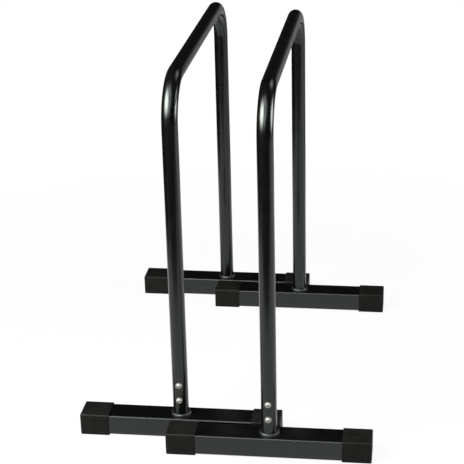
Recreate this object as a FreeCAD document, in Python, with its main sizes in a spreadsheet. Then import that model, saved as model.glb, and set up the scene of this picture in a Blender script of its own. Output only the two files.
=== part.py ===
"""Pair of tall parallette bars, each a bent steel tube bolted onto two capped foot beams.

Millimetres, +Z up. The origin is on the floor, midway between the two bars. X runs along the
feet, Y along the handles, and the front of each bar faces -Y.
"""
import FreeCAD
import Part
import Sketcher
import math
import os

# Driving sizes, in millimetres
SIZES = {
    # the bent tube
    "bar_height": 720.0,         # floor to the top of the handle
    "leg_spacing": 640.0,        # between the axes of a bar's two legs
    "tube_od": 30.0,             # outside diameter of the handle tube
    "tube_wall": 1.5,            # wall of the handle tube
    "bend_radius": 80.0,         # centre line of the two bends
    # the feet
    "foot_length": 390.0,        # over both end caps
    "beam_width": 50.0,          # foot beam, front to back
    "beam_height": 40.0,         # foot beam, top to bottom
    "beam_wall": 1.5,            # wall of the foot beam
    "beam_corner": 3.0,          # outside corner radius of the foot beam
    "cap_length": 56.0,          # end cap, along the beam
    "cap_wall": 1.9,             # end cap, round the beam
    "cap_end_wall": 3.0,         # end cap, across the beam's end
    "cap_corner": 2.5,           # outside corner radius of the end cap
    "cap_fit": 0.1,              # clearance of the end cap round the beam
    # the leg joint
    "spigot_length": 105.0,      # how far the spigot stands up from the beam
    "spigot_wall": 2.0,          # wall of the spigot
    "spigot_fit": 0.25,          # clearance of the spigot inside the leg, all round
    "spigot_lead": 1.0,          # chamfer on the spigot's top edge
    "weld_leg": 6.0,             # both legs of the weld fillet
    # the screws
    "screw_lower": 36.0,         # lower screw, above the foot beam
    "screw_pitch": 32.0,         # between the two screws of a leg
    "screw_od": 6.0,             # screw shank
    "screw_length": 13.0,        # under the head
    "screw_play": 0.3,           # clearance of the shank in tube, spigot and washer, all round
    "thread_fit": 0.05,          # clearance of the shank in the nut, all round
    "head_od": 10.5,             # button head
    "head_height": 3.3,
    "head_rim": 0.7,             # straight rim below the dome
    "head_flat": 6.0,            # diameter of the flat round the socket
    "socket_across": 4.0,        # hexagon socket, across flats
    "socket_depth": 2.1,
    "washer_od": 12.4,           # saddle washer
    "washer_thickness": 1.4,     # at the thinnest place, on the tube's crest
    "nut_across": 10.0,          # hexagon nut, across flats
    "nut_thickness": 5.0,
    "seat_fit": 0.05,            # clearance of washer and nut on their curved seats
    # how the pair stands
    "bar_spacing": 178.0,        # between the two handles
    "foot_gap": 3.0,             # between neighbouring feet of the two bars
}

# Sizes that follow from the driving ones
TUBE_RADIUS = "Dims.tube_od / 2"
TUBE_BORE = "(Dims.tube_od - 2 * Dims.tube_wall)"
SPIGOT_OD = f"({TUBE_BORE} - 2 * Dims.spigot_fit)"
SPIGOT_BORE = f"({SPIGOT_OD} - 2 * Dims.spigot_wall)"
CAP_MARGIN = "(Dims.cap_wall + Dims.cap_fit)"
CAP_WIDTH = f"(Dims.beam_width + 2 * {CAP_MARGIN})"
CAP_HEIGHT = f"(Dims.beam_height + 2 * {CAP_MARGIN})"
FOOT_MIDDLE = f"({CAP_HEIGHT} / 2)"
FOOT_TOP = f"({CAP_MARGIN} + Dims.beam_height)"
SCREW_HEIGHT = f"({FOOT_TOP} + Dims.screw_lower)"
SCREW_ZONE = "(Dims.screw_lower + Dims.washer_od)"
SCREW_HOLE = "(Dims.screw_od + 2 * Dims.screw_play)"
SEAT_DISTANCE = f"({TUBE_RADIUS} + Dims.washer_thickness)"
STAGGER = f"({CAP_WIDTH} + Dims.foot_gap)"

# Numbers that stand for a sketch's own points and axes, and for the points of a line or an arc
ORIGIN = (-1, 1)
H_AXIS, V_AXIS = range(-1, -3, -1)
START, END, CENTRE = range(1, 4)

# Coordinates nearer than this count as equal
NEAR = 1e-6

doc = FreeCAD.newDocument("parallette_bars")
sheet = doc.addObject("Spreadsheet::Sheet", "Dims")
for row, (alias, size) in enumerate(SIZES.items(), start=1):
    sheet.set(f"A{row}", alias)
    sheet.set(f"B{row}", str(size))
    sheet.setAlias(f"B{row}", alias)
doc.recompute()

nodes = []


def value(expression):
    """The present value of an expression of the sheet's sizes."""
    return float(sheet.evalExpression(expression))


def bind(item, **expressions):
    """Tie properties of an object to expressions; a double underscore stands for a dot."""
    for path, expression in expressions.items():
        item.setExpression(path.replace("__", "."), expression)


def new_body(name):
    """An empty body whose label is its node's name."""
    body = doc.addObject("PartDesign::Body", name)
    body.Label = name
    nodes.append(body)
    return body


def origin_part(body, role):
    """One of the body's own origin planes or axes."""
    return next(part for part in body.Origin.OriginFeatures if part.Role == role)


def attach(item, body, role, **offsets):
    """Lay a sketch or primitive on an origin plane, moved by expressions in the plane's axes."""
    item.AttachmentSupport = (origin_part(body, role), [""])
    item.MapMode = "FlatFace"
    for axis, expression in offsets.items():
        item.setExpression(f"AttachmentOffset.Base.{axis}", expression)


def new_sketch(body, role, name, **offsets):
    """A sketch on an origin plane of the body."""
    sketch = body.newObject("Sketcher::SketchObject", name)
    attach(sketch, body, role, **offsets)
    return sketch


def constrain(sketch, kind, *arguments):
    """Add one constraint without a size."""
    sketch.addConstraint(Sketcher.Constraint(kind, *arguments))


def dimension(sketch, kind, *arguments, size):
    """Add one constraint whose size is an expression."""
    index = sketch.addConstraint(Sketcher.Constraint(kind, *arguments, value(size)))
    sketch.setExpression(f"Constraints[{index}]", size)


def add_circle(sketch, diameter, height=None):
    """A circle about the sketch's origin, or on its vertical axis at a height."""
    middle = FreeCAD.Vector(0, value(height) if height else 0, 0)
    circle = sketch.addGeometry(Part.Circle(middle, FreeCAD.Vector(0, 0, 1), value(diameter) / 2))
    if height:
        constrain(sketch, "PointOnObject", circle, CENTRE, V_AXIS)
        dimension(sketch, "DistanceY", *ORIGIN, circle, CENTRE, size=height)
    else:
        constrain(sketch, "Coincident", circle, CENTRE, *ORIGIN)
    dimension(sketch, "Diameter", circle, size=diameter)


def add_chain(sketch, points):
    """Straight edges from point to point; returns their numbers."""
    corners = [FreeCAD.Vector(x, y, 0) for x, y in points]
    lines = [sketch.addGeometry(Part.LineSegment(a, b)) for a, b in zip(corners, corners[1:])]
    for before, after in zip(lines, lines[1:]):
        constrain(sketch, "Coincident", before, END, after, START)
    return lines


def add_rectangle(sketch, width, height):
    """A rectangle centred on the sketch's origin."""
    x, y = value(width) / 2, value(height) / 2
    lines = add_chain(sketch, [(-x, -y), (x, -y), (x, y), (-x, y), (-x, -y)])
    bottom, right, top, left = lines
    constrain(sketch, "Coincident", left, END, bottom, START)
    for line in (bottom, top):
        constrain(sketch, "Horizontal", line)
    for line in (right, left):
        constrain(sketch, "Vertical", line)
    constrain(sketch, "Symmetric", bottom, START, top, START, *ORIGIN)
    dimension(sketch, "DistanceX", bottom, START, bottom, END, size=width)
    dimension(sketch, "DistanceY", right, START, right, END, size=height)


def pad(body, sketch, length, symmetric=False):
    """Extrude a sketch along its normal, or to both sides of its plane."""
    feature = body.newObject("PartDesign::Pad", "Pad")
    feature.Profile = sketch
    feature.Midplane = symmetric
    bind(feature, Length=length)
    doc.recompute()
    return feature


def pocket(body, sketch, length, along_normal):
    """Cut a sketch into the body, along its normal or against it, and see that it cut."""
    before = body.Shape.Volume
    feature = body.newObject("PartDesign::Pocket", "Pocket")
    feature.Profile = sketch
    feature.Reversed = along_normal
    bind(feature, Length=length)
    doc.recompute()
    if not feature.Shape.Volume < before:
        raise RuntimeError(f"{body.Label}: a pocket cuts nothing")
    return feature


def revolve(body, sketch, axis):
    """Turn a sketch all the way round one of its own axes."""
    feature = body.newObject("PartDesign::Revolution", "Revolution")
    feature.Profile = sketch
    feature.ReferenceAxis = (sketch, [axis])
    feature.Angle = 360
    doc.recompute()
    return feature


def ease(body, kind, chosen, size):
    """Fillet or chamfer those edges of the body that a test chooses."""
    base = body.Tip
    names = [f"Edge{n}" for n, edge in enumerate(base.Shape.Edges, start=1) if chosen(edge)]
    feature = body.newObject(f"PartDesign::{kind}", kind)
    feature.Base = (base, names)
    bind(feature, **{"Radius" if kind == "Fillet" else "Size": size})
    doc.recompute()


def repeat_upwards(body):
    """Repeat the whole body at the height of the second screw."""
    pattern = body.newObject("PartDesign::LinearPattern", "LinearPattern")
    pattern.TransformMode = "Whole shape"
    pattern.Direction = (origin_part(body, "Z_Axis"), [""])
    pattern.Occurrences = 2
    bind(pattern, Length="Dims.screw_pitch")
    body.Tip = pattern
    doc.recompute()


def runs_along_x(edge):
    """Whether an edge is straight and parallel to X."""
    box = edge.BoundBox
    return box.YLength < NEAR and box.ZLength < NEAR


def sharp_along_x(edge, body):
    """Whether two flat faces of the body meet at an edge that is parallel to X."""
    faces = body.Tip.Shape.ancestorsOfType(edge, Part.Face)
    return runs_along_x(edge) and all(isinstance(face.Surface, Part.Plane) for face in faces)


def screw_holes(body, name, y, diameter, towards_front):
    """Two screw holes through one wall of an upright tube, from its axis at y outwards."""
    sketch = new_sketch(body, "XZ_Plane", name, z=f"-({y})")
    for height in (SCREW_HEIGHT, f"{SCREW_HEIGHT} + Dims.screw_pitch"):
        add_circle(sketch, diameter, height)
    pocket(body, sketch, "Dims.tube_od", along_normal=towards_front)


def handle_tube(name):
    """The bent tube: front leg, handle and rear leg, with holes in the legs' outward walls."""
    body = new_body(name)
    half = value("Dims.leg_spacing / 2")
    top = value(f"Dims.bar_height - {TUBE_RADIUS}")
    low = value(f"{FOOT_TOP} + Dims.weld_leg")
    bend = value("Dims.bend_radius")

    path = new_sketch(body, "YZ_Plane", "TubePath")

    def straight(a, b):
        return path.addGeometry(Part.LineSegment(FreeCAD.Vector(*a, 0), FreeCAD.Vector(*b, 0)))

    def quarter(centre, start, end):
        circle = Part.Circle(FreeCAD.Vector(*centre, 0), FreeCAD.Vector(0, 0, 1), bend)
        return path.addGeometry(Part.ArcOfCircle(circle, start, end))

    front_leg = straight((-half, low), (-half, top - bend))
    front_bend = quarter((-half + bend, top - bend), math.pi / 2, math.pi)
    handle = straight((-half + bend, top), (half - bend, top))
    rear_bend = quarter((half - bend, top - bend), 0, math.pi / 2)
    rear_leg = straight((half, top - bend), (half, low))
    constrain(path, "Tangent", front_leg, END, front_bend, END)
    constrain(path, "Tangent", front_bend, START, handle, START)
    constrain(path, "Tangent", handle, END, rear_bend, END)
    constrain(path, "Tangent", rear_bend, START, rear_leg, START)
    constrain(path, "Vertical", front_leg)
    constrain(path, "Vertical", rear_leg)
    constrain(path, "Equal", front_bend, rear_bend)
    constrain(path, "Symmetric", front_leg, START, rear_leg, END, V_AXIS)
    dimension(path, "Radius", front_bend, size="Dims.bend_radius")
    dimension(path, "DistanceX", front_leg, START, rear_leg, END, size="Dims.leg_spacing")
    dimension(path, "DistanceY", *ORIGIN, front_leg, START, size=f"{FOOT_TOP} + Dims.weld_leg")
    dimension(path, "DistanceY", *ORIGIN, handle, START, size=f"Dims.bar_height - {TUBE_RADIUS}")

    section = new_sketch(body, "XY_Plane", "TubeSection",
                         y="-Dims.leg_spacing / 2", z=f"{FOOT_TOP} + Dims.weld_leg")
    add_circle(section, "Dims.tube_od")
    add_circle(section, TUBE_BORE)
    doc.recompute()
    pipe = body.newObject("PartDesign::AdditivePipe", "BentTube")
    pipe.Profile = section
    pipe.Spine = (path, [])
    doc.recompute()

    screw_holes(body, "FrontHoles", "-Dims.leg_spacing / 2", SCREW_HOLE, towards_front=True)
    screw_holes(body, "RearHoles", "Dims.leg_spacing / 2", SCREW_HOLE, towards_front=False)
    return body


def foot_beam(name):
    """The rectangular steel tube that lies across under a leg."""
    body = new_body(name)
    section = new_sketch(body, "YZ_Plane", "BeamSection", y=FOOT_MIDDLE)
    add_rectangle(section, "Dims.beam_width", "Dims.beam_height")
    add_rectangle(section, "Dims.beam_width - 2 * Dims.beam_wall",
                  "Dims.beam_height - 2 * Dims.beam_wall")
    pad(body, section, "Dims.foot_length - 2 * (Dims.cap_end_wall + Dims.cap_fit)", symmetric=True)

    wall_middle = value("(Dims.beam_width - Dims.beam_wall) / 2")

    def outer_corner(edge):
        return runs_along_x(edge) and abs(edge.CenterOfMass.y) > wall_middle

    ease(body, "Fillet", outer_corner, "Dims.beam_corner")
    ease(body, "Fillet", lambda edge: sharp_along_x(edge, body),
         "max(Dims.beam_corner - Dims.beam_wall; Dims.beam_wall / 4)")
    return body


def foot_cap(name):
    """The plastic cap over the -X end of a foot beam, standing on the floor."""
    body = new_body(name)
    outline = new_sketch(body, "YZ_Plane", "CapOutline", y=FOOT_MIDDLE, z="-Dims.foot_length / 2")
    add_rectangle(outline, CAP_WIDTH, CAP_HEIGHT)
    pad(body, outline, "Dims.cap_length")
    rim = value("Dims.cap_length - Dims.foot_length / 2")
    ease(body, "Fillet", lambda edge: edge.BoundBox.XMin < rim - NEAR, "Dims.cap_corner")

    cavity = new_sketch(body, "YZ_Plane", "CapCavity", y=FOOT_MIDDLE,
                        z="Dims.cap_length - Dims.foot_length / 2")
    add_rectangle(cavity, "Dims.beam_width + 2 * Dims.cap_fit", "Dims.beam_height + 2 * Dims.cap_fit")
    pocket(body, cavity, "Dims.cap_length - Dims.cap_end_wall", along_normal=False)
    ease(body, "Fillet", lambda edge: sharp_along_x(edge, body), "Dims.beam_corner + Dims.cap_fit")
    return body


def spigot(name):
    """The short tube that stands on the foot beam inside the leg."""
    body = new_body(name)
    section = new_sketch(body, "XY_Plane", "SpigotSection", z=FOOT_TOP)
    add_circle(section, SPIGOT_OD)
    add_circle(section, SPIGOT_BORE)
    pad(body, section, "Dims.spigot_length")
    top = value(f"{FOOT_TOP} + Dims.spigot_length")
    middle = value(f"({SPIGOT_OD} + {SPIGOT_BORE}) / 4")

    def top_outer_edge(edge):
        box = edge.BoundBox
        return box.ZMin > top - NEAR and box.XLength > 2 * middle

    ease(body, "Chamfer", top_outer_edge, "min(Dims.spigot_lead; Dims.spigot_wall / 2)")
    screw_holes(body, "SpigotHoles", "0", SCREW_HOLE, towards_front=True)
    return body


def weld_bead(name):
    """The fillet weld between the spigot and the top of the foot beam."""
    body = new_body(name)
    section = new_sketch(body, "XZ_Plane", "WeldSection", y=FOOT_TOP)
    inner = value(f"{SPIGOT_OD} / 2")
    leg = value("Dims.weld_leg")
    base, slope, wall = add_chain(
        section, [(inner, 0), (inner + leg, 0), (inner, leg), (inner, 0)])
    constrain(section, "Coincident", wall, END, base, START)
    constrain(section, "PointOnObject", base, START, H_AXIS)
    constrain(section, "Horizontal", base)
    constrain(section, "Vertical", wall)
    dimension(section, "DistanceX", *ORIGIN, base, START, size=f"{SPIGOT_OD} / 2")
    dimension(section, "DistanceX", base, START, base, END, size="Dims.weld_leg")
    dimension(section, "DistanceY", wall, END, wall, START, size="Dims.weld_leg")
    revolve(body, section, "V_Axis")
    return body


def screw_profile(body):
    """Half the outline of the lower screw, with its seat on the sketch's vertical axis."""
    profile = new_sketch(body, "YZ_Plane", "ScrewProfile", x=f"-{SEAT_DISTANCE}", y=SCREW_HEIGHT)
    height = value("Dims.head_height")
    rim = value("Dims.head_rim")
    head = value("Dims.head_od / 2")
    flat = value("Dims.head_flat / 2")
    shank = value("Dims.screw_od / 2")
    length = value("Dims.screw_length")
    axis, crown = add_chain(profile, [(length, 0), (-height, 0), (-height, flat)])
    rim_line, seat, side, tip = add_chain(
        profile, [(-rim, head), (0, head), (0, shank), (length, shank), (length, 0)])

    # The dome is centred on the screw's axis and runs from the rim to the flat
    middle = (rim ** 2 + head ** 2 - height ** 2 - flat ** 2) / (2 * (height - rim))
    rim_angle = math.atan2(head, -rim - middle)
    flat_angle = math.atan2(flat, -height - middle)
    circle = Part.Circle(FreeCAD.Vector(middle, 0, 0), FreeCAD.Vector(0, 0, 1),
                         math.hypot(head, rim + middle))
    dome = profile.addGeometry(Part.ArcOfCircle(circle, rim_angle, flat_angle))
    constrain(profile, "Coincident", dome, START, rim_line, START)
    constrain(profile, "Coincident", dome, END, crown, END)
    constrain(profile, "PointOnObject", dome, CENTRE, H_AXIS)

    constrain(profile, "Coincident", tip, END, axis, START)
    constrain(profile, "PointOnObject", axis, START, H_AXIS)
    constrain(profile, "PointOnObject", axis, END, H_AXIS)
    constrain(profile, "PointOnObject", seat, START, V_AXIS)
    for line in (rim_line, side):
        constrain(profile, "Horizontal", line)
    for line in (crown, seat, tip):
        constrain(profile, "Vertical", line)
    dimension(profile, "DistanceX", axis, END, *ORIGIN, size="Dims.head_height")
    dimension(profile, "DistanceX", *ORIGIN, axis, START, size="Dims.screw_length")
    dimension(profile, "DistanceX", rim_line, START, rim_line, END, size="Dims.head_rim")
    dimension(profile, "DistanceY", crown, START, crown, END, size="Dims.head_flat / 2")
    dimension(profile, "DistanceY", *ORIGIN, seat, START, size="Dims.head_od / 2")
    dimension(profile, "DistanceY", *ORIGIN, seat, END, size="Dims.screw_od / 2")
    return profile


def screws(name):
    """The two button-head screws of a leg, with hexagon sockets."""
    body = new_body(name)
    turned = revolve(body, screw_profile(body), "H_Axis")

    socket = body.newObject("PartDesign::SubtractivePrism", "Socket")
    attach(socket, body, "XZ_Plane", y=SCREW_HEIGHT,
           z=f"{SEAT_DISTANCE} + Dims.head_height - Dims.socket_depth")
    bind(socket, Circumradius="Dims.socket_across / sqrt(3)", Height="Dims.socket_depth")
    doc.recompute()
    if not socket.Shape.Volume < turned.Shape.Volume:
        raise RuntimeError(f"{name}: the socket cuts nothing")
    repeat_upwards(body)
    return body


def saddle_washers(name):
    """The two washers of a leg, flat under the screw heads and hollow where they sit on the tube."""
    body = new_body(name)
    ring = new_sketch(body, "XZ_Plane", "WasherRing", y=SCREW_HEIGHT)
    add_circle(ring, "Dims.washer_od")
    add_circle(ring, SCREW_HOLE)
    pad(body, ring, SEAT_DISTANCE)
    tube = new_sketch(body, "XY_Plane", "TubeSeat", z=FOOT_TOP)
    add_circle(tube, "Dims.tube_od + 2 * Dims.seat_fit")
    pocket(body, tube, SCREW_ZONE, along_normal=True)
    repeat_upwards(body)
    return body


def weld_nuts(name):
    """The two nuts inside the spigot, with backs that follow its round wall."""
    body = new_body(name)
    block = body.newObject("PartDesign::AdditivePrism", "NutBlock")
    attach(block, body, "XZ_Plane", y=SCREW_HEIGHT, z=f"{SPIGOT_BORE} / 2 - Dims.nut_thickness")
    bind(block, Circumradius="Dims.nut_across / sqrt(3)", Height="Dims.nut_thickness")
    doc.recompute()
    thread = new_sketch(body, "XZ_Plane", "Thread", y=SCREW_HEIGHT)
    add_circle(thread, "Dims.screw_od + 2 * Dims.thread_fit")
    pocket(body, thread, SPIGOT_BORE, along_normal=True)
    wall = new_sketch(body, "XY_Plane", "SpigotWall", z=FOOT_TOP)
    add_circle(wall, f"{SPIGOT_BORE} - 2 * Dims.seat_fit")
    add_circle(wall, f"2 * {SPIGOT_OD}")
    pocket(body, wall, SCREW_ZONE, along_normal=True)
    repeat_upwards(body)
    return body


def place(body, bar_side, end_side=0, half_turn=False):
    """Move a piece to its bar, and to that bar's front or rear leg."""
    if half_turn:
        body.Placement.Rotation = FreeCAD.Rotation(FreeCAD.Vector(0, 0, 1), 180)
    bind(body, Placement__Base__x=f"{bar_side} * Dims.bar_spacing / 2",
         Placement__Base__y=f"{-bar_side} * {STAGGER} / 2 + {end_side} * Dims.leg_spacing / 2")


JOINT_PIECES = {
    "foot_beam": foot_beam,
    "spigot": spigot,
    "weld_bead": weld_bead,
    "screws": screws,
    "saddle_washers": saddle_washers,
    "weld_nuts": weld_nuts,
}

for bar, bar_side in (("left", -1), ("right", 1)):
    place(handle_tube(f"{bar}_handle_tube"), bar_side)
    for end, end_side in (("front", -1), ("rear", 1)):
        for piece, make in JOINT_PIECES.items():
            place(make(f"{bar}_{end}_{piece}"), bar_side, end_side, half_turn=end_side > 0)
        for cap_side in ("left", "right"):
            cap = foot_cap(f"{bar}_{end}_{cap_side}_cap")
            place(cap, bar_side, end_side, half_turn=cap_side == "right")

doc.recompute()
failed = [item.Name for item in doc.Objects if {"Invalid", "Error"} & set(item.State)]
failed += [body.Label for body in nodes if body.Shape.isNull() or not body.Shape.isValid()]
if failed:
    raise RuntimeError("not built: " + ", ".join(failed))

os.makedirs("parts", exist_ok=True)
for body in nodes:
    body.Shape.exportStep(f"parts/{body.Label}.step")
    print(f"{body.Label}: {len(body.Shape.Solids)} solid(s), {body.Shape.Volume:.1f} mm3")
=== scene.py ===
"""Pair of tall parallette bars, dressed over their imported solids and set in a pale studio.

Metres, +Z up, in the frame of the solids: X runs along the feet, Y along the handles, and the
front of each bar faces -Y.
"""
import logging
import math
from dataclasses import dataclass
from enum import Enum
from typing import Iterable

import bmesh
import bpy
from mathutils import Matrix, Vector


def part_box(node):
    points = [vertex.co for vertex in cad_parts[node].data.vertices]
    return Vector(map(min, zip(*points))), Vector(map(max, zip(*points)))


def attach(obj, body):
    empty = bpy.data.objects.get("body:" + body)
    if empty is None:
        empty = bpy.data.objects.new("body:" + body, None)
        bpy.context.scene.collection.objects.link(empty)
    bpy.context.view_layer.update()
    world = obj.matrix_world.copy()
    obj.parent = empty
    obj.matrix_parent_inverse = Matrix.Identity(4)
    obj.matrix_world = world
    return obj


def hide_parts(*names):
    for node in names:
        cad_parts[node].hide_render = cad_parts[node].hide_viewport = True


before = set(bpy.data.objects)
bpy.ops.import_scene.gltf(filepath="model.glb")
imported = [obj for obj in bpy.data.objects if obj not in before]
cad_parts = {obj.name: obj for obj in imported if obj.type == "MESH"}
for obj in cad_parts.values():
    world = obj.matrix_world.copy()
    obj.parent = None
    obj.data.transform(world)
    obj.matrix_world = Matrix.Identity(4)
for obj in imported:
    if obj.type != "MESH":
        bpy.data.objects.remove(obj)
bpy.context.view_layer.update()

LOG = logging.getLogger("parallettes")

Colour = tuple[float, float, float]
Point = tuple[float, float, float]
Range = tuple[float, float]

WHITE: Colour = (1.0, 1.0, 1.0)
BLACK: Colour = (0.0, 0.0, 0.0)
QUARTER_TURN = math.radians(90.0)

# Face attribute that says how far round a rounded edge a face lies
EDGE_MARK = "edge"
# Edges that turn by more than this are shaded as sharp
CRISP = math.radians(40.0)
# A face looks along an axis where its normal lies at least this far along it
FACING = 0.9
# Past this it is flat, and no part of a rounded edge
FLAT = 0.999
# How far the normal in the middle of a rounded edge falls short of an axis
MID_EDGE = 1.0 - math.cos(math.radians(45.0))
# Vertices nearer than this are one
MERGE = 1e-6
# Places of the colour sockets on a Mix node, whose names its other kinds share
MIX_FACTOR, MIX_FIRST, MIX_SECOND, MIX_RESULT = 0, 6, 7, 2


class Bar(Enum):
    """The two bars of the pair."""

    LEFT = "left"
    RIGHT = "right"

    @property
    def body(self) -> str:
        """Name of the body that this bar moves as."""
        return f"{self.value}_bar"


class End(Enum):
    """The two ends of a bar, each with a leg and a foot."""

    FRONT = "front"
    REAR = "rear"

    def stem(self, bar: Bar) -> str:
        """The first words of the names of the solids at this end of a bar."""
        return f"{bar.value}_{self.value}"


class Side(Enum):
    """The two ends of a foot beam."""

    LEFT = "left"
    RIGHT = "right"

    @property
    def outward(self) -> float:
        """The sign of X that points off the beam's end."""
        return -1.0 if self is Side.LEFT else 1.0


class Slot(Enum):
    """Names of the record's material slots for the paint and the plastic."""

    PAINT = "black_paint"
    PLASTIC = "cap_plastic"


class Rays(Enum):
    """Which rays may meet a thing that belongs to the studio."""

    ALL = "all"
    MIRRORED = "mirrored"


class Axis(Enum):
    """The axes along which a cloth of the studio may fade."""

    DEPTH = "Y"
    HEIGHT = "Z"


def seen_rays(tree: bpy.types.NodeTree) -> bpy.types.NodeSocket:
    """Find the rays that show a thing as it is.

    Args:
        tree: The node tree to work in.

    Returns:
        1 for camera, glossy and transmission rays, 0 for the others.
    """
    path = tree.nodes.new("ShaderNodeLightPath")
    total = path.outputs["Is Camera Ray"]
    for kind in ("Is Glossy Ray", "Is Transmission Ray"):
        step = tree.nodes.new("ShaderNodeMath")
        step.operation = "MAXIMUM"
        tree.links.new(total, step.inputs[0])
        tree.links.new(path.outputs[kind], step.inputs[1])
        total = step.outputs[0]
    return total


class Recipe:
    """A material under construction, with short ways to add and join its nodes."""

    def __init__(self, name: str) -> None:
        """Start an empty node tree.

        Args:
            name: The material's name.
        """
        self.material = bpy.data.materials.new(name)
        self.material.use_nodes = True
        self.tree = self.material.node_tree
        self.tree.nodes.clear()
        self.output = self.add("ShaderNodeOutputMaterial")
        self.coords = self.add("ShaderNodeTexCoord").outputs["Object"]

    def add(self, kind: str, settings: dict | None = None, **sockets: object) -> bpy.types.Node:
        """Add one node.

        Args:
            kind: The node's type.
            settings: Properties of the node itself.
            sockets: Values or links for inputs; an underscore stands for a space.

        Returns:
            The new node.
        """
        node = self.tree.nodes.new(kind)
        for key, setting in (settings or {}).items():
            setattr(node, key, setting)
        for key, value in sockets.items():
            self.set(node.inputs[key.replace("_", " ")], value)
        return node

    def set(self, socket: bpy.types.NodeSocket, value: object) -> None:
        """Give an input a constant, or link it to an output.

        Args:
            socket: The input.
            value: A number, a colour, a vector or a link.
        """
        if isinstance(value, bpy.types.NodeSocket):
            self.tree.links.new(value, socket)
        elif socket.type == "RGBA" and len(value) == 3:
            socket.default_value = (*value, 1.0)
        else:
            socket.default_value = value

    def scaled(self, scale: Point) -> bpy.types.NodeSocket:
        """The piece's own coordinates, stretched along each axis."""
        place = self.add("ShaderNodeMapping", Vector=self.coords, Scale=scale)
        return place.outputs["Vector"]

    def length(self, vector: bpy.types.NodeSocket) -> bpy.types.NodeSocket:
        """Measure a vector.

        Args:
            vector: The vector.

        Returns:
            Its length.
        """
        node = self.add("ShaderNodeVectorMath", {"operation": "LENGTH"})
        self.set(node.inputs[0], vector)
        return node.outputs["Value"]

    def noise(self, wave: float, detail: float = 2.0, stretch: Point = (1.0, 1.0, 1.0),
              rough: float = 0.5) -> bpy.types.NodeSocket:
        """A noise over the piece.

        Args:
            wave: Size of its patches, in metres.
            detail: How many finer layers it has.
            stretch: How much longer the patches are along each axis.
            rough: How strong the finer layers are.

        Returns:
            The noise's value, from 0 to 1.
        """
        scale = tuple(1.0 / (wave * axis) for axis in stretch)
        made = self.add("ShaderNodeTexNoise", Vector=self.scaled(scale), Scale=1.0,
                        Detail=detail, Roughness=rough)
        return made.outputs["Fac"]

    def edges(self) -> bpy.types.NodeSocket:
        """How much of an edge a face is, from the mark that the mesh carries."""
        return self.add("ShaderNodeAttribute", {"attribute_name": EDGE_MARK}).outputs["Fac"]

    def span(self, value: bpy.types.NodeSocket, low: object, high: object,
             start: float = 0.3, end: float = 0.7) -> bpy.types.NodeSocket:
        """Stretch a value to a range of its own.

        Args:
            value: The value to stretch.
            low: What it becomes at start, a number or a link.
            high: What it becomes at end, a number or a link.
            start: Where the stretch begins.
            end: Where it ends.

        Returns:
            The stretched value.
        """
        made = self.add("ShaderNodeMapRange", Value=value, From_Min=start, From_Max=end,
                        To_Min=low, To_Max=high)
        return made.outputs["Result"]

    def blend(self, amount: bpy.types.NodeSocket, first: object,
              second: object) -> bpy.types.NodeSocket:
        """A colour between two others.

        Args:
            amount: 0 for the first, 1 for the second.
            first: A colour or a link to one.
            second: A colour or a link to one.

        Returns:
            The mixed colour.
        """
        node = self.add("ShaderNodeMix", {"data_type": "RGBA"})
        self.set(node.inputs[MIX_FACTOR], amount)
        self.set(node.inputs[MIX_FIRST], first)
        self.set(node.inputs[MIX_SECOND], second)
        return node.outputs[MIX_RESULT]

    def bump(self, height: bpy.types.NodeSocket, depth: float) -> bpy.types.NodeSocket:
        """A relief on the surface.

        Args:
            height: The relief's height, from 0 to 1.
            depth: How deep it is, in metres.

        Returns:
            The new normal.
        """
        node = self.add("ShaderNodeBump", Height=height, Distance=depth, Strength=1.0)
        return node.outputs["Normal"]

    def close(self, shader: bpy.types.NodeSocket) -> bpy.types.Material:
        """Put a shader on the surface, and hand over the finished material."""
        self.set(self.output.inputs["Surface"], shader)
        return self.material

    def surface(self, **sockets: object) -> bpy.types.Material:
        """Close the recipe with one surface shader.

        Args:
            sockets: Values or links for the shader's inputs.

        Returns:
            The finished material.
        """
        return self.close(self.add("ShaderNodeBsdfPrincipled", **sockets).outputs["BSDF"])

    def glow(self, tone: object, strength: float) -> bpy.types.NodeSocket:
        """A shader that gives off light.

        Args:
            tone: Its colour, or a link to its fade.
            strength: How bright it is.

        Returns:
            The shader.
        """
        node = self.add("ShaderNodeEmission", Color=tone, Strength=strength)
        return node.outputs["Emission"]


@dataclass(frozen=True)
class PowderPaint:
    """Black powder paint: glossy, with a faint orange peel and a cool cast in its reflections."""

    name: str = "black_powder_paint"
    deep: Colour = (0.0016, 0.0017, 0.0016)
    thin: Colour = (0.0030, 0.0032, 0.0031)
    # Paler paint along the upper edges: partly rubbed wear, partly a painted edge highlight
    bare_and_highlight: Colour = (0.012, 0.013, 0.012)
    cast: Colour = (0.91, 1.0, 0.92)
    gloss: Range = (0.18, 0.24)
    worn: float = 0.70
    cloud_wave: float = 0.045
    haze_wave: float = 0.012
    peel_wave: float = 0.0042
    peel_depth: float = 0.000004

    def make(self) -> bpy.types.Material:
        """Mix the paint: thinner in clouds, and dull and paler along its upper edges, partly as
        rubbed wear and partly as a painted edge highlight.

        Returns:
            The paint as a material.
        """
        recipe = Recipe(self.name)
        cloud = recipe.noise(self.cloud_wave, detail=4.0, rough=0.6)
        haze = recipe.noise(self.haze_wave, detail=3.0)
        peel = recipe.noise(self.peel_wave, detail=0.5)
        coat = recipe.blend(recipe.span(cloud, 0.0, 1.0), self.deep, self.thin)
        return recipe.surface(
            Base_Color=recipe.blend(recipe.edges(), coat, self.bare_and_highlight),
            Roughness=recipe.span(recipe.edges(), recipe.span(haze, *self.gloss), self.worn,
                                  start=0.0, end=1.0),
            Normal=recipe.bump(peel, self.peel_depth),
            Specular_Tint=self.cast,
        )


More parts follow.
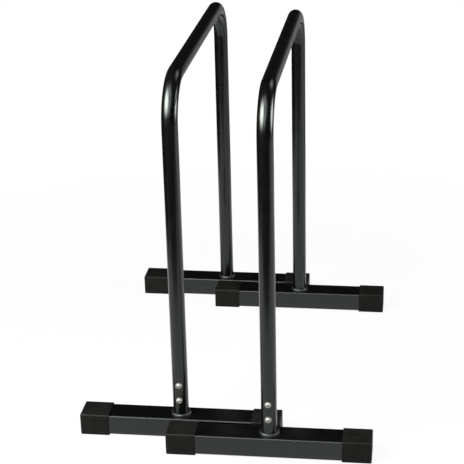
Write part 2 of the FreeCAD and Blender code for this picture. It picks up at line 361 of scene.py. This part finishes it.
@dataclass(frozen=True)
class MouldedPlastic:
    """Matt black plastic with the fine grain of its mould and dry rubs on it."""

    name: str = "moulded_black_plastic"
    dark: Colour = (0.0057, 0.0053, 0.0045)
    rubbed: Colour = (0.0085, 0.0079, 0.0068)
    worn: Colour = (0.0164, 0.0155, 0.0140)
    sheen: Range = (0.46, 0.62)
    shine: float = 0.09
    rub_wave: float = 0.020
    rub_range: Range = (0.35, 0.75)
    grain_wave: float = 0.0009
    grain_depth: float = 0.00006

    def make(self) -> bpy.types.Material:
        """Mix the plastic: rubbed in clouds, and paler along worn edges.

        Returns:
            The plastic as a material.
        """
        recipe = Recipe(self.name)
        cloud = recipe.noise(self.rub_wave, detail=4.0, rough=0.65)
        grain = recipe.noise(self.grain_wave, detail=2.0, rough=0.7)
        rubs = recipe.span(cloud, 0.0, 1.0, *self.rub_range)
        skin = recipe.blend(rubs, self.dark, self.rubbed)
        return recipe.surface(
            Base_Color=recipe.blend(recipe.edges(), skin, self.worn),
            Roughness=recipe.span(cloud, *self.sheen),
            Normal=recipe.bump(grain, self.grain_depth),
            Specular_IOR_Level=self.shine,
        )


@dataclass(frozen=True)
class PlatedSteel:
    """Bright plated steel with fine scratches and a dull bloom in places."""

    name: str
    bright: Colour
    bloom: Colour
    polish: Range
    bloom_wave: float = 0.0035
    scratch_wave: float = 0.0004
    scratch_stretch: Point = (8.0, 1.0, 1.0)
    scratch_depth: float = 0.000006

    def make(self) -> bpy.types.Material:
        """Mix the steel.

        Returns:
            The steel as a material.
        """
        recipe = Recipe(self.name)
        cloud = recipe.noise(self.bloom_wave, detail=3.0)
        scratch = recipe.noise(self.scratch_wave, stretch=self.scratch_stretch)
        return recipe.surface(
            Base_Color=recipe.blend(recipe.span(cloud, 0.0, 1.0), self.bright, self.bloom),
            Metallic=1.0,
            Roughness=recipe.span(cloud, *self.polish),
            Normal=recipe.bump(scratch, self.scratch_depth),
        )


@dataclass(frozen=True)
class WhiteSweep:
    """The studio's floor: white to the eye and in reflections, and still shaded under the feet."""

    name: str = "white_sweep"
    paper: Colour = (0.92, 0.92, 0.92)
    fibre_wave: float = 0.004
    fibre_tones: Range = (0.97, 1.0)
    lift: float = 0.93
    near: float = 0.55
    far: float = 1.30

    def make(self) -> bpy.types.Material:
        """Mix the floor, which is all white from far on and takes shade near the feet.

        Returns:
            The floor as a material.
        """
        recipe = Recipe(self.name)
        fibre = recipe.span(recipe.noise(self.fibre_wave, detail=3.0), *self.fibre_tones)
        tone = recipe.blend(fibre, BLACK, self.paper)
        lit = recipe.add("ShaderNodeBsdfDiffuse", Color=tone)
        reach = recipe.length(recipe.coords)
        white = recipe.span(reach, self.lift, 1.0, self.near, self.far)
        amount = recipe.add("ShaderNodeMath", {"operation": "MULTIPLY"})
        recipe.set(amount.inputs[0], seen_rays(recipe.tree))
        recipe.set(amount.inputs[1], white)
        both = recipe.add("ShaderNodeMixShader")
        shares = (amount.outputs[0], lit.outputs["BSDF"], recipe.glow(WHITE, 1.0))
        for socket, share in zip(both.inputs, shares):
            recipe.set(socket, share)
        return recipe.close(both.outputs["Shader"])


@dataclass(frozen=True)
class DimCloth:
    """Dim cloth of the studio's walls and flags, met only in reflections.

    It may fade from one glow to another along an axis.
    """

    name: str = "dim_cloth"
    glow: float = 0.012
    far_glow: float | None = None
    fade: Range = (0.0, 1.0)
    axis: Axis = Axis.DEPTH

    def make(self) -> bpy.types.Material:
        """Mix the cloth.

        Returns:
            The cloth as a material.
        """
        recipe = Recipe(self.name)
        tone: object = WHITE
        if self.far_glow is not None:
            parts = recipe.add("ShaderNodeSeparateXYZ", Vector=recipe.coords)
            along = parts.outputs[self.axis.value]
            tone = recipe.span(along, 1.0, self.far_glow / self.glow, *self.fade)
        return recipe.close(recipe.glow(tone, self.glow))


@dataclass(frozen=True)
class Finishes:
    """Every finish of the pair, made once."""

    paint: bpy.types.Material
    weld: bpy.types.Material
    plastic: bpy.types.Material
    zinc: bpy.types.Material
    steel: bpy.types.Material

    @classmethod
    def mix(cls) -> "Finishes":
        """Make all the finishes.

        Returns:
            The finishes.
        """
        zinc = PlatedSteel(name="zinc_plated_steel", bright=(0.37, 0.37, 0.35),
                           bloom=(0.30, 0.30, 0.28), polish=(0.50, 0.62),
                           scratch_depth=0.000002)
        steel = PlatedSteel(name="plain_steel", bright=(0.42, 0.41, 0.40),
                            bloom=(0.30, 0.29, 0.28), polish=(0.34, 0.50))
        weld = PowderPaint(name="painted_weld", gloss=(0.34, 0.44))
        return cls(paint=PowderPaint().make(), weld=weld.make(), plastic=MouldedPlastic().make(),
                   zinc=zinc.make(), steel=steel.make())


def dress_node(name: str, finish: bpy.types.Material) -> None:
    """Give a solid of the frame its finish.

    Args:
        name: The solid's name.
        finish: Its material.
    """
    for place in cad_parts[name].material_slots:
        place.material = finish
    LOG.info("dressed %s in %s", name, finish.name)


def new_object(name: str, bm: bmesh.types.BMesh, finish: bpy.types.Material) -> bpy.types.Object:
    """Turn a finished bmesh into an object of the scene.

    Args:
        name: The object's name.
        bm: Its mesh, which is freed.
        finish: Its material.

    Returns:
        The new object.
    """
    mesh = bpy.data.meshes.new(name)
    bm.to_mesh(mesh)
    bm.free()
    mesh.materials.append(finish)
    made = bpy.data.objects.new(name, mesh)
    bpy.context.scene.collection.objects.link(made)
    return made


def place_piece(name: str, bm: bmesh.types.BMesh, finish: bpy.types.Material, bar: Bar,
                node: str) -> None:
    """Turn a finished bmesh into a piece that stands for a solid of the frame.

    Args:
        name: The piece's name.
        bm: Its mesh, which is freed.
        finish: Its material.
        bar: The bar that it rides on.
        node: The solid that it stands for.
    """
    piece = new_object(name, bm, finish)
    piece.data.set_sharp_from_angle(angle=CRISP)
    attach(piece, bar.body)
    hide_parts(node)
    LOG.info("built %s: %d faces", name, len(piece.data.polygons))


def only(kind: type, geometry: Iterable[object]) -> list:
    """The members of one kind in an operator's result."""
    return [item for item in geometry if isinstance(item, kind)]


def smooth_all(bm: bmesh.types.BMesh) -> None:
    """Shade every face of a round piece as part of one curve."""
    for face in bm.faces:
        face.smooth = True


def mark_edges(bm: bmesh.types.BMesh) -> None:
    """Shade the rounded edges of a squared piece smooth, and mark how far round each face is.

    Only faces that look upwards are marked, because the lower edges don't get rubbed; on the paint,
    the paler marked edges are also a painted edge highlight.

    Args:
        bm: The piece's mesh.
    """
    mark = bm.faces.layers.float.new(EDGE_MARK)
    bm.normal_update()
    for face in bm.faces:
        facing = max(abs(part) for part in face.normal)
        face.smooth = facing < FLAT
        face[mark] = min(1.0, (1.0 - facing) / MID_EDGE) if face.normal.z > 0.0 else 0.0


def block(size: Vector) -> bmesh.types.BMesh:
    """Start a squared piece.

    Args:
        size: Its length along each axis.

    Returns:
        A bmesh that holds one block of that size, centred on the origin.
    """
    bm = bmesh.new()
    bmesh.ops.create_cube(bm, size=1.0)
    bmesh.ops.scale(bm, verts=bm.verts, vec=size)
    bm.normal_update()
    return bm


def round_edges(bm: bmesh.types.BMesh, edges: list[bmesh.types.BMEdge], radius: float,
                steps: int) -> None:
    """Round some edges of a squared piece.

    Args:
        bm: The piece's mesh.
        edges: The edges to round.
        radius: Their radius.
        steps: How many faces go round each.
    """
    bmesh.ops.bevel(bm, geom=edges, offset=radius, offset_type="OFFSET", affect="EDGES",
                    segments=steps, profile=0.5, material=-1)


@dataclass
class HandleTube:
    """One round tube bent to an upside-down U: two legs and the handle between them."""

    bar: Bar
    top: float = 0.720
    radius: float = 0.015
    wall: float = 0.0015
    bend_radius: float = 0.080
    sides: int = 72
    bend_steps: int = 30
    run_length: float = 0.04

    @property
    def node(self) -> str:
        """The solid that this tube stands for."""
        return f"{self.bar.value}_handle_tube"

    def push(self, bm: bmesh.types.BMesh, ring: list[bmesh.types.BMEdge],
             travel: Vector) -> list[bmesh.types.BMEdge]:
        """Draw a straight run of tube out of its open end.

        Args:
            bm: The tube's mesh.
            ring: Edges of the open end.
            travel: The whole run.

        Returns:
            Edges of the new open end.
        """
        steps = max(1, round(travel.length / self.run_length))
        for _ in range(steps):
            made = bmesh.ops.extrude_edge_only(bm, edges=ring)["geom"]
            ring = only(bmesh.types.BMEdge, made)
            bmesh.ops.translate(bm, verts=only(bmesh.types.BMVert, made), vec=travel / steps)
        return ring

    def turn(self, bm: bmesh.types.BMesh, ring: list[bmesh.types.BMEdge],
             centre: Vector) -> list[bmesh.types.BMEdge]:
        """Draw a quarter bend out of the tube's open end.

        Args:
            bm: The tube's mesh.
            ring: Edges of the open end.
            centre: The middle of the bend.

        Returns:
            Edges of the new open end.
        """
        ends = list({vert for edge in ring for vert in edge.verts})
        made = bmesh.ops.spin(bm, geom=ends + ring, cent=centre, axis=(-1.0, 0.0, 0.0),
                              angle=QUARTER_TURN, steps=self.bend_steps)
        return only(bmesh.types.BMEdge, made["geom_last"])

    def build(self, finishes: Finishes) -> None:
        """Bend the tube, give it its wall and paint it.

        Args:
            finishes: The pair's finishes.
        """
        low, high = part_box(self.node)
        axis_x = (low.x + high.x) / 2
        front, rear = low.y + self.radius, high.y - self.radius
        shoulder = self.top - self.radius - self.bend_radius
        bm = bmesh.new()
        start = bmesh.ops.create_circle(bm, segments=self.sides, radius=self.radius)["verts"]
        bmesh.ops.translate(bm, verts=start, vec=(axis_x, front, low.z))
        ring = self.push(bm, bm.edges[:], Vector((0.0, 0.0, shoulder - low.z)))
        ring = self.turn(bm, ring, Vector((axis_x, front + self.bend_radius, shoulder)))
        handle = rear - front - 2 * self.bend_radius
        ring = self.push(bm, ring, Vector((0.0, handle, 0.0)))
        ring = self.turn(bm, ring, Vector((axis_x, rear - self.bend_radius, shoulder)))
        self.push(bm, ring, Vector((0.0, 0.0, low.z - shoulder)))
        bmesh.ops.remove_doubles(bm, verts=bm.verts, dist=MERGE)
        bmesh.ops.recalc_face_normals(bm, faces=bm.faces)
        bmesh.ops.solidify(bm, geom=bm.faces[:], thickness=self.wall)
        smooth_all(bm)
        place_piece(f"{self.bar.value}_handle", bm, finishes.paint, self.bar, self.node)


@dataclass
class Foot:
    """A foot beam with its two end caps, the spigot that stands on it and the weld round that."""

    bar: Bar
    end: End
    beam_wall: float = 0.0015
    beam_corner: float = 0.003
    cap_wall: float = 0.0019
    cap_end_wall: float = 0.003
    cap_corner: float = 0.0025
    corner_steps: int = 5
    spigot_radius: float = 0.01325
    tube_radius: float = 0.015
    weld_leg: float = 0.006
    # Share of the weld's leg that the bead's flat top reaches
    bead_share: float = 0.995
    crown_steps: int = 5
    ripples: int = 34
    ripple_steps: int = 7
    ripple_rise: float = 0.0005
    # How far, in radians, a ripple trails from the tube to the bead's toe
    ripple_lag: float = 2.2
    # Share of a ripple's swell that goes upwards, and how fast it dies out towards the beam
    ripple_lift: float = 0.6
    ripple_taper: float = 3.0
    # Past this share of the bead's reach lies its toe, which stays on the beam
    toe_share: float = 0.999

    @property
    def stem(self) -> str:
        """The first words of the names of this foot's solids."""
        return self.end.stem(self.bar)

    @property
    def crown(self) -> float:
        """How far the weld bead stands out past the tube."""
        return self.spigot_radius + self.weld_leg - self.tube_radius

    def build(self, finishes: Finishes) -> None:
        """Make and dress the foot.

        Args:
            finishes: The pair's finishes.
        """
        self.beam(finishes)
        for side in Side:
            self.cap(side, finishes)
        self.weld(finishes)
        dress_node(f"{self.stem}_spigot", finishes.steel)

    def beam(self, finishes: Finishes) -> None:
        """Roll the rectangular tube of the foot.

        Args:
            finishes: The pair's finishes.
        """
        node = f"{self.stem}_foot_beam"
        low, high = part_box(node)
        bm = block(high - low)
        ends = [face for face in bm.faces if abs(face.normal.x) > FACING]
        rims = {edge for face in ends for edge in face.edges}
        corners = [edge for edge in bm.edges if edge not in rims]
        bmesh.ops.delete(bm, geom=ends, context="FACES_ONLY")
        round_edges(bm, corners, self.beam_corner, self.corner_steps)
        bmesh.ops.recalc_face_normals(bm, faces=bm.faces)
        mark_edges(bm)
        bmesh.ops.solidify(bm, geom=bm.faces[:], thickness=self.beam_wall)
        bmesh.ops.translate(bm, verts=bm.verts, vec=(low + high) / 2)
        place_piece(f"{self.stem}_beam", bm, finishes.paint, self.bar, node)

    def cap(self, side: Side, finishes: Finishes) -> None:
        """Mould the sleeve over one end of the beam.

        Args:
            side: The end of the beam.
            finishes: The pair's finishes.
        """
        node = f"{self.stem}_{side.value}_cap"
        low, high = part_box(node)
        size = high - low
        bm = block(size)
        inner = -side.outward
        mouth = next(face for face in bm.faces if face.normal.x * inner > FACING)
        corners = [edge for edge in bm.edges if mouth not in edge.link_faces]
        round_edges(bm, corners, self.cap_corner, self.corner_steps)
        bm.normal_update()
        mouth = max(bm.faces, key=lambda face: face.calc_center_median().x * inner)
        bmesh.ops.inset_individual(bm, faces=[mouth], thickness=self.cap_wall, depth=0.0,
                                   use_even_offset=True)
        bmesh.ops.inset_individual(bm, faces=[mouth], thickness=0.0,
                                   depth=self.cap_end_wall - size.x, use_even_offset=True)
        mark_edges(bm)
        bmesh.ops.translate(bm, verts=bm.verts, vec=(low + high) / 2)
        place_piece(f"{self.stem}_{side.value}_end_cap", bm, finishes.plastic, self.bar, node)

    def bead_section(self) -> list[Range]:
        """Draw the section of the weld bead.

        Returns:
            Its corners, each as a distance from the spigot's axis and a height over the beam.
        """
        height = self.weld_leg * self.bead_share
        section = [(self.spigot_radius, 0.0), (self.spigot_radius, height),
                   (self.tube_radius, height)]
        for step in range(1, self.crown_steps + 1):
            angle = QUARTER_TURN * (1.0 - step / self.crown_steps)
            out = self.tube_radius + self.crown * math.cos(angle)
            section.append((out, height * math.sin(angle)))
        return section

    def ripple(self, vert: bmesh.types.BMVert) -> None:
        """Swell one vertex of the bead into the ripples of the weld.

        Args:
            vert: The vertex, while the spigot's axis is still at the origin.
        """
        out = math.hypot(vert.co.x, vert.co.y)
        share = max(0.0, (out - self.tube_radius) / self.crown)
        swirl = math.atan2(vert.co.y, vert.co.x) * self.ripples + self.ripple_lag * share
        swell = self.ripple_rise * share * abs(math.cos(swirl / 2))
        vert.co.xy *= (out + swell) / out
        if share < self.toe_share:
            taper = min(1.0, vert.co.z / self.weld_leg * self.ripple_taper)
            vert.co.z += swell * self.ripple_lift * taper

    def weld(self, finishes: Finishes) -> None:
        """Lay the rippled bead round the spigot.

        Args:
            finishes: The pair's finishes.
        """
        node = f"{self.stem}_weld_bead"
        low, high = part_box(node)
        bm = bmesh.new()
        points = [bm.verts.new((out, 0.0, up)) for out, up in self.bead_section()]
        edges = [bm.edges.new(pair) for pair in zip(points, points[1:] + points[:1])]
        bmesh.ops.spin(bm, geom=points + edges, cent=(0.0, 0.0, 0.0), axis=(0.0, 0.0, 1.0),
                       angle=math.tau, steps=self.ripples * self.ripple_steps, use_merge=True)
        bmesh.ops.remove_doubles(bm, verts=bm.verts, dist=MERGE)
        for vert in bm.verts:
            self.ripple(vert)
        bmesh.ops.recalc_face_normals(bm, faces=bm.faces)
        axis = Vector(((low.x + high.x) / 2, (low.y + high.y) / 2, low.z))
        bmesh.ops.translate(bm, verts=bm.verts, vec=axis)
        smooth_all(bm)
        place_piece(f"{self.stem}_bead", bm, finishes.weld, self.bar, node)


@dataclass
class ScrewPair:
    """The two screws that hold a leg on its spigot, with their washers and nuts."""

    bar: Bar
    end: End

    def build(self, finishes: Finishes) -> None:
        """Dress the screws.

        Args:
            finishes: The pair's finishes.
        """
        stem = self.end.stem(self.bar)
        dress_node(f"{stem}_screws", finishes.zinc)
        dress_node(f"{stem}_saddle_washers", finishes.zinc)
        dress_node(f"{stem}_weld_nuts", finishes.steel)


def set_up(name: str, bm: bmesh.types.BMesh, finish: bpy.types.Material,
           rays: Rays) -> bpy.types.Object:
    """Put a thing of the studio in place.

    Args:
        name: Its name.
        bm: Its mesh, which is freed.
        finish: Its material.
        rays: What may meet it.

    Returns:
        The new object.
    """
    thing = new_object(name, bm, finish)
    if rays is Rays.MIRRORED:
        thing.visible_camera = False
        thing.visible_diffuse = False
        thing.visible_transmission = False
        thing.visible_volume_scatter = False
        thing.visible_shadow = False
    LOG.info("set up %s", name)
    return thing


def point_at(thing: bpy.types.Object, place: Point, aim: Point) -> None:
    """Move a lamp or a panel to its place and turn its face to what it lights.

    Args:
        thing: The lamp or panel.
        place: Where it hangs.
        aim: The point that it faces.
    """
    thing.location = place
    gaze = Vector(aim) - Vector(place)
    thing.rotation_euler = gaze.to_track_quat("-Z", "Y").to_euler()


@dataclass(frozen=True)
class SoftBox:
    """A rectangular studio lamp."""

    name: str
    place: Point
    aim: Point
    width: float
    height: float
    radiance: float
    mirrored: bool = False

    def build(self) -> None:
        """Hang the lamp and point it."""
        lamp = bpy.data.lights.new(self.name, "AREA")
        lamp.shape = "RECTANGLE"
        lamp.size, lamp.size_y = self.width, self.height
        lamp.energy = math.pi * self.width * self.height * self.radiance
        hung = bpy.data.objects.new(self.name, lamp)
        bpy.context.scene.collection.objects.link(hung)
        point_at(hung, self.place, self.aim)
        hung.visible_camera = False
        hung.visible_glossy = self.mirrored
        LOG.info("hung %s", self.name)


@dataclass(frozen=True)
class GlowPanel:
    """A large panel that is met only in reflections, bright in the middle and dark at its rim."""

    name: str
    place: Point
    aim: Point
    half_width: float
    half_height: float
    glow: float

    def finish(self) -> bpy.types.Material:
        """Mix the panel's glow, which fades softly from its middle to its rim.

        Returns:
            The glow as a material.
        """
        recipe = Recipe(self.name)
        reach = recipe.length(recipe.scaled((1.0 / self.half_width, 1.0 / self.half_height, 1.0)))
        fade = recipe.add("ShaderNodeMapRange", {"interpolation_type": "SMOOTHSTEP"},
                          Value=reach, From_Min=0.0, From_Max=1.0, To_Min=1.0, To_Max=0.0)
        return recipe.close(recipe.glow(fade.outputs["Result"], self.glow))

    def build(self) -> None:
        """Hang the panel and point it."""
        bm = bmesh.new()
        bmesh.ops.create_grid(bm, x_segments=1, y_segments=1, size=1.0)
        bmesh.ops.scale(bm, verts=bm.verts, vec=(self.half_width, self.half_height, 1.0))
        hung = set_up(self.name, bm, self.finish(), Rays.MIRRORED)
        point_at(hung, self.place, self.aim)


@dataclass(frozen=True)
class View:
    """The camera, where the photograph was taken from."""

    place: Point = (0.352, -2.568, 1.394)
    yaw: float = 0.108
    pitch: float = 0.371
    roll: float = -0.011
    lens: float = 105.6
    shift: Range = (-0.10, -0.0810)

    def build(self) -> None:
        """Set up the camera."""
        level = math.cos(self.pitch)
        ahead = Vector((-math.sin(self.yaw) * level, math.cos(self.yaw) * level,
                        -math.sin(self.pitch)))
        right = Vector((math.cos(self.yaw), math.sin(self.yaw), 0.0))
        turn = Matrix((right, right.cross(ahead), -ahead)).transposed()
        turn = turn @ Matrix.Rotation(self.roll, 3, "Z")
        eye = bpy.data.cameras.new("camera")
        eye.lens = self.lens
        eye.shift_x, eye.shift_y = self.shift
        stand = bpy.data.objects.new("camera", eye)
        bpy.context.scene.collection.objects.link(stand)
        stand.matrix_world = Matrix.Translation(self.place) @ turn.to_4x4()
        bpy.context.scene.camera = stand


@dataclass
class Studio:
    """Pale floor, dark surroundings, soft lamps and the camera."""

    floor_size: float = 40.0
    room: float = 9.0
    room_sink: float = 0.5
    # Edges of the bright floor round the pair, as reflections show it
    table_front: float = -0.93
    table_left: float = -0.95
    table_rear: float = 0.95
    # Height of the flags over the floor
    flag_lift: float = 0.001
    front_glow: float = 0.07
    # The strip of ground behind the table: its sides, and where and how far it fades
    strip_sides: Range = (-0.1, 2.2)
    strip_fade: Range = (1.4, 3.0)
    strip_glows: Range = (0.60, 0.25)
    # The card at the strip's far end, which fades towards its top
    card_size: Point = (2.0, 0.02, 1.3)
    card_place: Point = (1.2, 4.3, 0.65)
    card_fade: Range = (0.3, 1.2)
    card_glows: Range = (0.42, 0.02)
    # Strength of the world for light that isn't seen
    fill: float = 0.12
    panels: tuple[GlowPanel, ...] = (
        GlowPanel(name="left_panel", place=(-0.85, -1.85, 2.35), aim=(-0.05, -0.33, 0.66),
                  half_width=2.3, half_height=2.3, glow=12.0),
        GlowPanel(name="left_core_panel", place=(-1.04, -1.16, 1.60), aim=(-0.05, -0.33, 0.66),
                  half_width=1.30, half_height=1.12, glow=31.0),
        GlowPanel(name="right_panel", place=(1.65, 0.08, 0.85), aim=(0.0, -0.1, 0.55),
                  half_width=0.76, half_height=0.66, glow=17.0),
        GlowPanel(name="rear_panel", place=(1.0, 1.0, 2.1), aim=(0.0, 0.0, 0.5),
                  half_width=0.65, half_height=0.80, glow=2.6),
    )
    lamps: tuple[SoftBox, ...] = (
        SoftBox(name="left_lamp", place=(-1.00, -1.22, 1.58), aim=(0.0, -0.3, 0.55),
                width=1.05, height=0.95, radiance=17.0),
        SoftBox(name="right_lamp", place=(1.68, 0.09, 0.86), aim=(0.0, -0.1, 0.55),
                width=0.75, height=0.66, radiance=10.0),
        SoftBox(name="rear_lamp", place=(1.0, 1.0, 2.1), aim=(0.0, 0.0, 0.5),
                width=0.8, height=1.0, radiance=1.5),
        SoftBox(name="front_fill", place=(0.3, -1.6, 2.2), aim=(0.0, 0.0, 0.3),
                width=1.8, height=1.2, radiance=0.45, mirrored=True),
    )

    def sheet(self, name: str, low: Point, high: Point, finish: bpy.types.Material,
              rays: Rays = Rays.MIRRORED) -> None:
        """Lay a flat sheet.

        Args:
            name: The sheet's name.
            low: Its near left corner.
            high: Its far right corner.
            finish: Its material.
            rays: What may meet it.
        """
        bm = bmesh.new()
        bmesh.ops.create_grid(bm, x_segments=1, y_segments=1, size=0.5)
        span = Vector(high) - Vector(low)
        bmesh.ops.scale(bm, verts=bm.verts, vec=(span.x, span.y, 1.0))
        bmesh.ops.translate(bm, verts=bm.verts, vec=(Vector(low) + Vector(high)) / 2)
        set_up(name, bm, finish, rays)

    def floor(self) -> None:
        """Lay the white floor."""
        half = self.floor_size / 2
        self.sheet("floor", (-half, -half, 0.0), (half, half, 0.0), WhiteSweep().make(), Rays.ALL)

    def walls(self, cloth: bpy.types.Material) -> None:
        """Close the dark room round the floor.

        Args:
            cloth: The cloth on its walls.
        """
        bm = bmesh.new()
        bmesh.ops.create_cube(bm, size=self.room)
        bmesh.ops.translate(bm, verts=bm.verts, vec=(0.0, 0.0, self.room / 2 - self.room_sink))
        set_up("dark_room", bm, cloth, Rays.MIRRORED)

    def flags(self, cloth: bpy.types.Material) -> None:
        """Lay dim cloth round the bright table, and a strip that fades away behind it.

        Args:
            cloth: The cloth of the darkest flags.
        """
        ground = DimCloth(name="dim_ground", glow=self.front_glow).make()
        near_glow, far_glow = self.strip_glows
        strip = DimCloth(name="fading_ground", glow=near_glow, far_glow=far_glow,
                         fade=self.strip_fade).make()
        edge = self.room / 2
        low, high = self.flag_lift, 2 * self.flag_lift
        self.sheet("front_flag", (-edge, -edge, low), (edge, self.table_front, low), ground)
        self.sheet("left_flag", (-edge, self.table_front, low), (self.table_left, edge, low), cloth)
        self.sheet("rear_flag", (self.table_left, self.table_rear, low), (edge, edge, low), cloth)
        left, right = self.strip_sides
        front, rear = self.strip_fade[0], self.card_place[1]
        self.sheet("rear_fade", (left, front, high), (right, rear, high), strip)

    def card(self) -> None:
        """Stand the card behind the strip, which fades towards its top."""
        low_glow, high_glow = self.card_glows
        finish = DimCloth(name="fading_card", glow=low_glow, far_glow=high_glow,
                          fade=self.card_fade, axis=Axis.HEIGHT).make()
        bm = block(Vector(self.card_size))
        bmesh.ops.translate(bm, verts=bm.verts, vec=self.card_place)
        set_up("rear_card", bm, finish, Rays.MIRRORED)

    def world(self) -> None:
        """Set the world: white for what is seen, and a soft fill for the light."""
        sky = bpy.data.worlds.new("studio")
        sky.use_nodes = True
        tree = sky.node_tree
        tree.nodes.clear()
        output = tree.nodes.new("ShaderNodeOutputWorld")
        shade = tree.nodes.new("ShaderNodeBackground")
        shade.inputs["Color"].default_value = (*WHITE, 1.0)
        level = tree.nodes.new("ShaderNodeMapRange")
        level.inputs["To Min"].default_value = self.fill
        tree.links.new(seen_rays(tree), level.inputs["Value"])
        tree.links.new(level.outputs["Result"], shade.inputs["Strength"])
        tree.links.new(shade.outputs["Background"], output.inputs["Surface"])
        bpy.context.scene.world = sky

    def build(self) -> None:
        """Set up the whole studio."""
        self.floor()
        cloth = DimCloth().make()
        self.walls(cloth)
        self.flags(cloth)
        self.card()
        self.world()
        for light in self.panels + self.lamps:
            light.build()
        View().build()
        bpy.context.scene.view_settings.view_transform = "Standard"


def main() -> None:
    """Build the pair and the studio."""
    logging.basicConfig(level=logging.INFO, format="%(name)s: %(message)s")
    finishes = Finishes.mix()
    for bar in Bar:
        HandleTube(bar).build(finishes)
        for end in End:
            Foot(bar, end).build(finishes)
            ScrewPair(bar, end).build(finishes)
    Studio().build()


if __name__ == "__main__":
    main()
